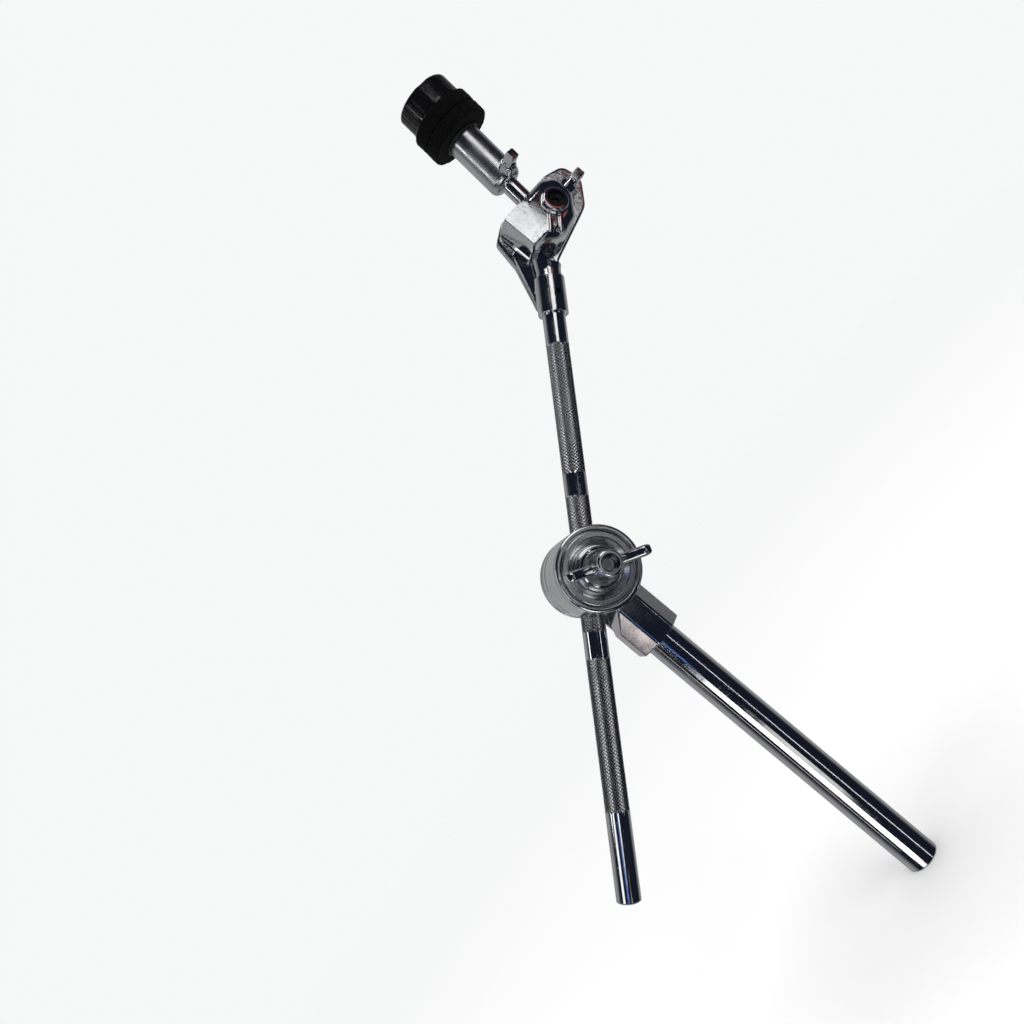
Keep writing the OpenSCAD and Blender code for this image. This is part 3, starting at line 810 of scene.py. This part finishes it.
def makeSeatSleeve(values):
    bm = bmesh.new()
    r, low, high = values["radius"], values["low"], values["high"]
    lathe(bm, [(values["bore"], low, 0), (r, low, 4), (r, high, 0.8), (values["bore"], high, 0)],
          144, True, spindleFrame)
    sleeve = newObject("satinSleeve", bm)
    boss = bmesh.new()
    lathe(boss, [(0, 6, 0), (values["bossRadius"], 6, 0), (values["bossRadius"], values["bossHigh"], 0.9),
                 (0, values["bossHigh"], 0)], 64, False, seatKeyFrame)
    cut(sleeve, boss, operation="UNION")
    cut(sleeve, drill(values["keyHole"], 3, 20, seatKeyFrame),
        drill(values["keySink"], values["sinkLow"], 20, seatKeyFrame))
    finish(sleeve, "seatChrome", "seat", ["seat_sleeve"])


keyValues = {"radius": 2.95, "collar": 3.55, "collarHigh": 1.4, "square": 5.4, "edge": 0.7}


def makeKeyScrew(name, values, place, tip, collar, head, body, replaced):
    bm = bmesh.new()
    cylinder(bm, values["radius"], tip, collar + 0.6, place, 48, 0.4)
    cylinder(bm, values["collar"], collar, collar + values["collarHigh"], place, 64, 0.45)
    middle = collar + values["collarHigh"] + (head - values["collarHigh"]) / 2
    bar(bm, (values["square"], values["square"], head - values["collarHigh"] + 0.6),
        along(place, middle), values["edge"])
    finish(newObject(name, bm), "keyChrome", body, [replaced], sharp=40)


feltValues = {
    "outer": 19.5, "inner": 6.1, "thick": 8.5, "edge": 0.9, "lump": 0.2, "weave": 0.10,
    "hairs": 900, "hairLength": 1.3, "hairRadius": 0.035,
}


def makeFeltPad(name, values, low, body, replaced, seed):
    bm = bmesh.new()
    r, inner, thick, edge = values["outer"], values["inner"], values["thick"], values["edge"]
    lathe(bm, [(inner, low + 0.1, 0.4), (r - 0.25, low + 0.1, edge), (r - 0.25, low + thick - 0.1, edge),
               (inner, low + thick - 0.1, 0.4)], 128, True)
    longEdges = [side for side in bm.edges if side.calc_length() > 1.6]
    bmesh.ops.subdivide_edges(bm, edges=longEdges, cuts=9, use_grid_fill=True)
    bmesh.ops.recalc_face_normals(bm, faces=bm.faces)
    bm.normal_update()
    flat = low + thick / 2
    for vert in bm.verts:
        lumps = noise.noise(vert.co * 0.35 + Vector((seed, 0, 0))) * values["lump"]
        fuzz = noise.noise(vert.co * 1.7 + Vector((0, seed, 0))) * values["weave"]
        free = min(1, max(0, (Vector(vert.co[:2]).length - inner) / 2))  # the bore stays round
        vert.co += vert.normal * (lumps + fuzz - 0.12) * free
        vert.co.z = min(low + thick, max(low, vert.co.z))
    draw = random.Random(seed)
    for index in range(values["hairs"]):
        angle = draw.uniform(0, math.tau)
        height = low + edge * 0.5 + draw.random() * (thick - edge)
        lean = Vector((draw.gauss(0, 1), draw.gauss(0, 1), draw.gauss(0, 0.35))).normalized()
        out = Vector((math.cos(angle), math.sin(angle), 0))
        root = out * (r - 0.45) + Vector((0, 0, height))
        addHair(bm, root, out, lean, values["hairLength"] * draw.uniform(0.5, 1), values["hairRadius"])
    bmesh.ops.transform(bm, matrix=spindleFrame, verts=bm.verts)
    felt = finish(newObject(name, bm), "blackFelt", body, [replaced], sharp=0, weighted=False)
    return felt


def addHair(bm, root, out, lean, length, radius):
    # a short bent fibre: a three-sided tube that hugs the felt's side
    side = out.cross(lean).normalized()
    sweep = (lean - out * lean.dot(out)).normalized()
    last = None
    for step in range(4):
        share = step / 3
        middle = root + sweep * length * share + out * (0.32 * math.sin(math.pi * share))
        wide = radius * (1 - 0.6 * share)
        ring = [bm.verts.new(middle + (out * math.cos(turn) + side * math.sin(turn)) * wide)
                for turn in (0, math.tau / 3, 2 * math.tau / 3)]
        if last:
            for index in range(3):
                after = (index + 1) % 3
                bm.faces.new((last[index], last[after], ring[after], ring[index]))
        else:
            bm.faces.new(ring)
        last = ring
    bm.faces.new(list(reversed(last)))


nutValues = {
    "radius": 17, "low": 79.9, "high": 94.2, "edge": 2.2, "scoopRadius": 16, "scoopDepth": 2.6,
    "scoopTurn": -95, "ribs": 5, "ribPitch": 10, "ribWidth": 0.8, "washer": 11.5, "bore": 4.05,
}


def makeTopNut(values):
    bm = bmesh.new()
    r, low, high, bore = values["radius"], values["low"], values["high"], values["bore"]
    lathe(bm, [(bore, low + 1, 0), (values["washer"], low + 1, 0), (values["washer"], low, 0.2),
               (r, low, 0.6), (r, high, values["edge"]), (0, high, 0), (0, high - 2, 0), (bore, high - 2, 0)],
          144, True, spindleFrame)
    nut = newObject("gripNut", bm)
    tools = bmesh.new()
    for turn in (0, 120, 240):
        place = spindleFrame @ turned("Z", values["scoopTurn"] + turn)
        shift = Matrix.Translation((r + values["scoopRadius"] - values["scoopDepth"], 0, 0))
        cylinder(tools, values["scoopRadius"], low + 2, high + 4, place @ shift, 96, 0.5)
        for rib in range(values["ribs"] + 1):
            angle = 60 + (rib - values["ribs"] / 2) * values["ribPitch"]
            groove = place @ turned("Z", angle) @ Matrix.Translation((r + 0.2, 0, 0))
            cylinder(tools, values["ribWidth"], low + 1.6, high - 1.6, groove, 12)
    cut(nut, tools)
    finish(nut, "nutPlastic", "nut", ["top_nut"], sharp=38)


bushValues = {"flange": 11, "low": 61.2, "step": 62.7, "tube": 6, "high": 78.7, "bore": 4.1}


def makeBush(values):
    bm = bmesh.new()
    lathe(bm, [(values["bore"], values["low"], 0.1), (values["flange"], values["low"], 0.4),
               (values["flange"], values["step"], 0.4), (values["tube"], values["step"], 0.3),
               (values["tube"], values["high"], 0.4), (values["bore"], values["high"], 0.1)],
          112, True, spindleFrame)
    finish(newObject("flangedBush", bm), "blackNylon", "seat", ["spindle_bush"])


headValues = {
    "outline": [(-27.8, 14.5, 1.5), (6, 15, 7), (14.5, 9.5, 7), (13.5, -3, 9), (3.5, -13.5, 7), (-7, -16, 7),
                (-14.5, -15, 5), (-21, -9.8, 4), (-27.8, -8.5, 1.5)],
    "cheek": [(-27.8, 13.8, 1.2), (-10, 13.8, 3), (-10, -9, 3), (-27.8, -8, 1.2)],
    "back": -6, "side": 4.5, "front": 12, "boss": 7.3, "bossHigh": 16.2, "recess": 5.35, "recessLow": 8.6,
    "keyBoss": 4.6, "keyHole": 3.05, "spindleStep": 13.4, "bore": 4.02, "ribTurn": 222,
    "ribSize": (13, 1.9, 3.4), "ribOffsets": (-3.4, 2.6), "crown": 0.0042, "voxel": 0.34, "polish": 4,
}


def makeTilterHead(values):
    bm = bmesh.new()
    rise = values["front"] - values["side"]
    slab(bm, values["outline"], plateLayers(values["back"], values["front"], 0.8, 0.8, rise, 5.5), pivotFrame)
    slab(bm, values["cheek"], plateLayers(0, values["front"], 0.3, 0.3, 0.5, 0.5), pivotFrame)
    cylinder(bm, values["boss"], 0, values["bossHigh"], pivotFrame, 64, 0.8)
    cylinder(bm, values["keyBoss"], 6, 17.5, tiltKeyFrame, 48, 0.6)
    for offset in values["ribOffsets"]:  # two ribs from the boss towards the neck
        place = pivotFrame @ turned("Z", values["ribTurn"]) @ Matrix.Translation((11.5, offset, 10.6))
        bar(bm, values["ribSize"], place, 0.5)
    head = cast(newObject("tilterHeadCasting", bm), values["voxel"], values["polish"])
    back = pivotFrame.inverted()
    for vert in head.data.vertices:  # the front falls away in a long curve past the cheek
        x, y, z = back @ vert.co
        if z > values["side"]:
            share = (z - values["side"]) / rise
            fall = values["crown"] * max(0, x + 15) ** 2 + values["crown"] * 0.5 * y ** 2
            vert.co = pivotFrame @ Vector((x, y, z - fall * share))
    tools = bmesh.new()
    stepped(tools, values["bore"], values["recess"], -10, values["recessLow"], 20, pivotFrame)
    stepped(tools, values["bore"], values["recess"], 5, values["spindleStep"], 26, spindleFrame)
    cylinder(tools, values["keyHole"], 4.3, 40, tiltKeyFrame, 48)
    bar(tools, (0.8, 9, 0.5), pivotFrame @ Matrix.Translation((-27.8, 9.8, -2.5)))
    cut(head, tools)
    finish(head, "castChrome", "head", ["tilter_head"], sharp=45)


baseValues = {
    "plate": [(-31.3, 12.5, 3.5), (-22, 17.5, 6), (17, 18, 8), (29.3, 14.2, 6), (31.3, 1.5, 8),
              (19.5, -11, 10), (-16, -20, 6), (-31, -34, 4), (-39, -26, 4)],
    "web": [(-31, 4, 4), (-21, -6, 3), (-19, -20, 4), (-37, -39, 4), (-46, -31, 5)],
    "back": -17.5, "front": -7, "neckStart": 142.2, "neckLength": 21, "neckRadius": 8.4, "swing": 32.5,
    "rodHole": 6.37, "bore": 4.02, "pinHole": 1.52, "pinAt": 11, "pinTurn": 18, "crown": 0.006,
    "voxel": 0.36, "polish": 6,
}


def makeTilterBase(values):
    bm = bmesh.new()
    back, front = values["back"], values["front"]
    slab(bm, values["plate"], plateLayers(back, front, 3, 4, 0.6, 0.6), pivotFrame)
    slab(bm, values["web"], plateLayers(back + 1, -3.5, 2, 2, 0.8, 0.8), pivotFrame)
    start, reach, r = values["neckStart"], values["neckLength"], values["neckRadius"]
    end = start + reach
    lathe(bm, [(0, end - 4, 0), (r - 0.9, end - 4, 0), (r - 1.3, end + 4, 4), (r - 0.3, end + 10, 6),
               (r, end + 16, 2), (0, end + 16, 0)], 96, False, boomFrame)
    base = cast(newObject("tilterBaseCasting", bm), values["voxel"], values["polish"])
    level = pivotFrame.inverted()
    for vert in base.data.vertices:  # the plate's far corner falls away towards the back
        x, y, z = level @ vert.co
        if x < -12 and -9 < z < -2:
            vert.co = pivotFrame @ Vector((x, y, z - values["crown"] * (x + 12) ** 2))
    cut(base, drill(values["swing"], front + 0.01, 40, pivotFrame, 128))
    collar = bmesh.new()
    lathe(collar, [(0, start, 0), (r, start, 0.5), (r, end, 0.35), (r - 0.9, end + 0.2, 0),
                   (0, end + 0.2, 0)], 128, False, boomFrame)
    cut(base, collar, operation="UNION")
    tools = bmesh.new()
    cylinder(tools, values["rodHole"], start - 1, end + 5, boomFrame)
    cylinder(tools, values["bore"], back - 2, front + 2, pivotFrame)
    bar(tools, (6, 12, 14), pivotFrame @ Matrix.Translation((-25, -1.5, -12.5)))  # a window through the plate
    across = turned("Z", values["pinTurn"]) @ turned("X", 90)
    for low, high in ((-9, -6.1), (6.1, 9)):  # the pin's hole, from each side into the rod's
        cylinder(tools, values["pinHole"], low, high, along(boomFrame, start + values["pinAt"]) @ across, 32)
    cut(base, tools)
    finish(base, "castChrome", "boom", ["tilter_base"], sharp=45)


bracketValues = {
    "flats": 28, "low": -50.5, "high": -18, "discBack": -18.4, "discFront": -14.4, "disc": 22.05,
    "tube": 9.345, "tubeTop": -27, "edge": 1.0, "sweep": 22.85, "spine": (22, 3.2, 28), "boltHole": 4.2,
}


def makeBracket(values):
    socketFrame = Matrix.Translation((0, 0, clampFrame.translation.z))
    bm = bmesh.new()
    corner = values["flats"] / 2 / math.cos(math.pi / 8)
    made = bmesh.ops.create_cone(bm, cap_ends=True, segments=8, radius1=corner, radius2=corner,
                                 depth=values["high"] - values["low"])["verts"]
    bmesh.ops.rotate(bm, cent=(0, 0, 0), matrix=Matrix.Rotation(math.pi / 8, 3, "Z"), verts=made)
    bmesh.ops.translate(bm, vec=(0, 0, (values["high"] + values["low"]) / 2), verts=made)
    # the shoulder on the tail side is planed off so that the rod can lean past it
    shoulder = bmesh.ops.bisect_plane(bm, geom=bm.verts[:] + bm.edges[:] + bm.faces[:], clear_inner=True,
                                      plane_co=(-16, 0, -36), plane_no=(19, 0, -14))
    rim = [item for item in shoulder["geom_cut"] if isinstance(item, bmesh.types.BMEdge)]
    bmesh.ops.edgenet_fill(bm, edges=rim)
    bmesh.ops.recalc_face_normals(bm, faces=bm.faces)
    bmesh.ops.bevel(bm, geom=bm.edges[:], offset=values["edge"], affect="EDGES", segments=4, profile=0.5,
                    material=-1, offset_type="OFFSET")
    bmesh.ops.transform(bm, matrix=socketFrame, verts=bm.verts)
    socket = newObject("bracketSocket", bm)
    cut(socket, drill(values["sweep"], values["discFront"] - 0.6, 40, clampFrame, 144),
        drill(values["tube"] + 0.02, values["low"] - 5, values["tubeTop"], socketFrame, 96))
    spine = bmesh.new()
    spineAt = (0, clampFrame.translation.y - values["discFront"] + 1.9, clampFrame.translation.z - 20)
    bar(spine, values["spine"], Matrix.Translation(spineAt))
    cut(socket, spine, operation="UNION")
    disc = bmesh.new()
    lathe(disc, [(0, values["discBack"], 0), (values["disc"], values["discBack"], 1.2),
                 (values["disc"], values["discFront"], 0.4), (0, values["discFront"], 0)],
          144, False, clampFrame)
    cut(socket, disc, operation="UNION")
    cut(socket, drill(values["boltHole"], values["discFront"] - 8, values["discFront"] + 8, clampFrame))
    finish(socket, "bracketChrome", "post", ["tube_bracket"], sharp=30)


makeBoomRod(rodValues)
makeClampHalves(clampValues)
makePressurePlate(plateValues)
makeWingNut(wingValues)
makeBracket(bracketValues)
makeSeatSleeve(sleeveValues)
makeKeyScrew("seatKeyScrew", keyValues, seatKeyFrame, 5.3, 13.6, 8, "seat_key", "seat_key_screw")
makeKeyScrew("tiltKeyScrew", keyValues, tiltKeyFrame, 7, 19, 8.2, "tilt_key", "tilt_key_screw")
makeBush(bushValues)
makeFeltPad("lowerFeltPad", feltValues, 62.7, "felt_low", "lower_felt", 3)
makeFeltPad("upperFeltPad", feltValues, 71.2, "felt_high", "upper_felt", 8)
makeTopNut(nutValues)
makeTilterHead(headValues)
makeTilterBase(baseValues)

cadFinishes = {
    "post_tube": "tubeChrome", "bracket_pin": "darkSteel", "brake_ring": "brakeFibre",
    "rear_washer": "zincSteel", "rear_lock_nut": "zincSteel", "eye_bolt": "zincSteel",
    "clamp_spring": "springSteel", "wing_washer": "zincSteel", "rod_grip": "blackNylon",
    "neck_pin": "darkSteel", "pivot_bolt": "darkSteel", "pivot_lock_nut": "zincSteel",
    "friction_disc": "brakeFibre", "brake_pad": "padBrass", "spindle": "spindleChrome",
    "nut_washer": "zincSteel",
}
for nodeName, finishName in cadFinishes.items():
    mesh = nodes[nodeName].data
    mesh.materials.clear()
    mesh.materials.append(finishes[finishName])
print("frame dressed:", len(cadFinishes), "nodes")
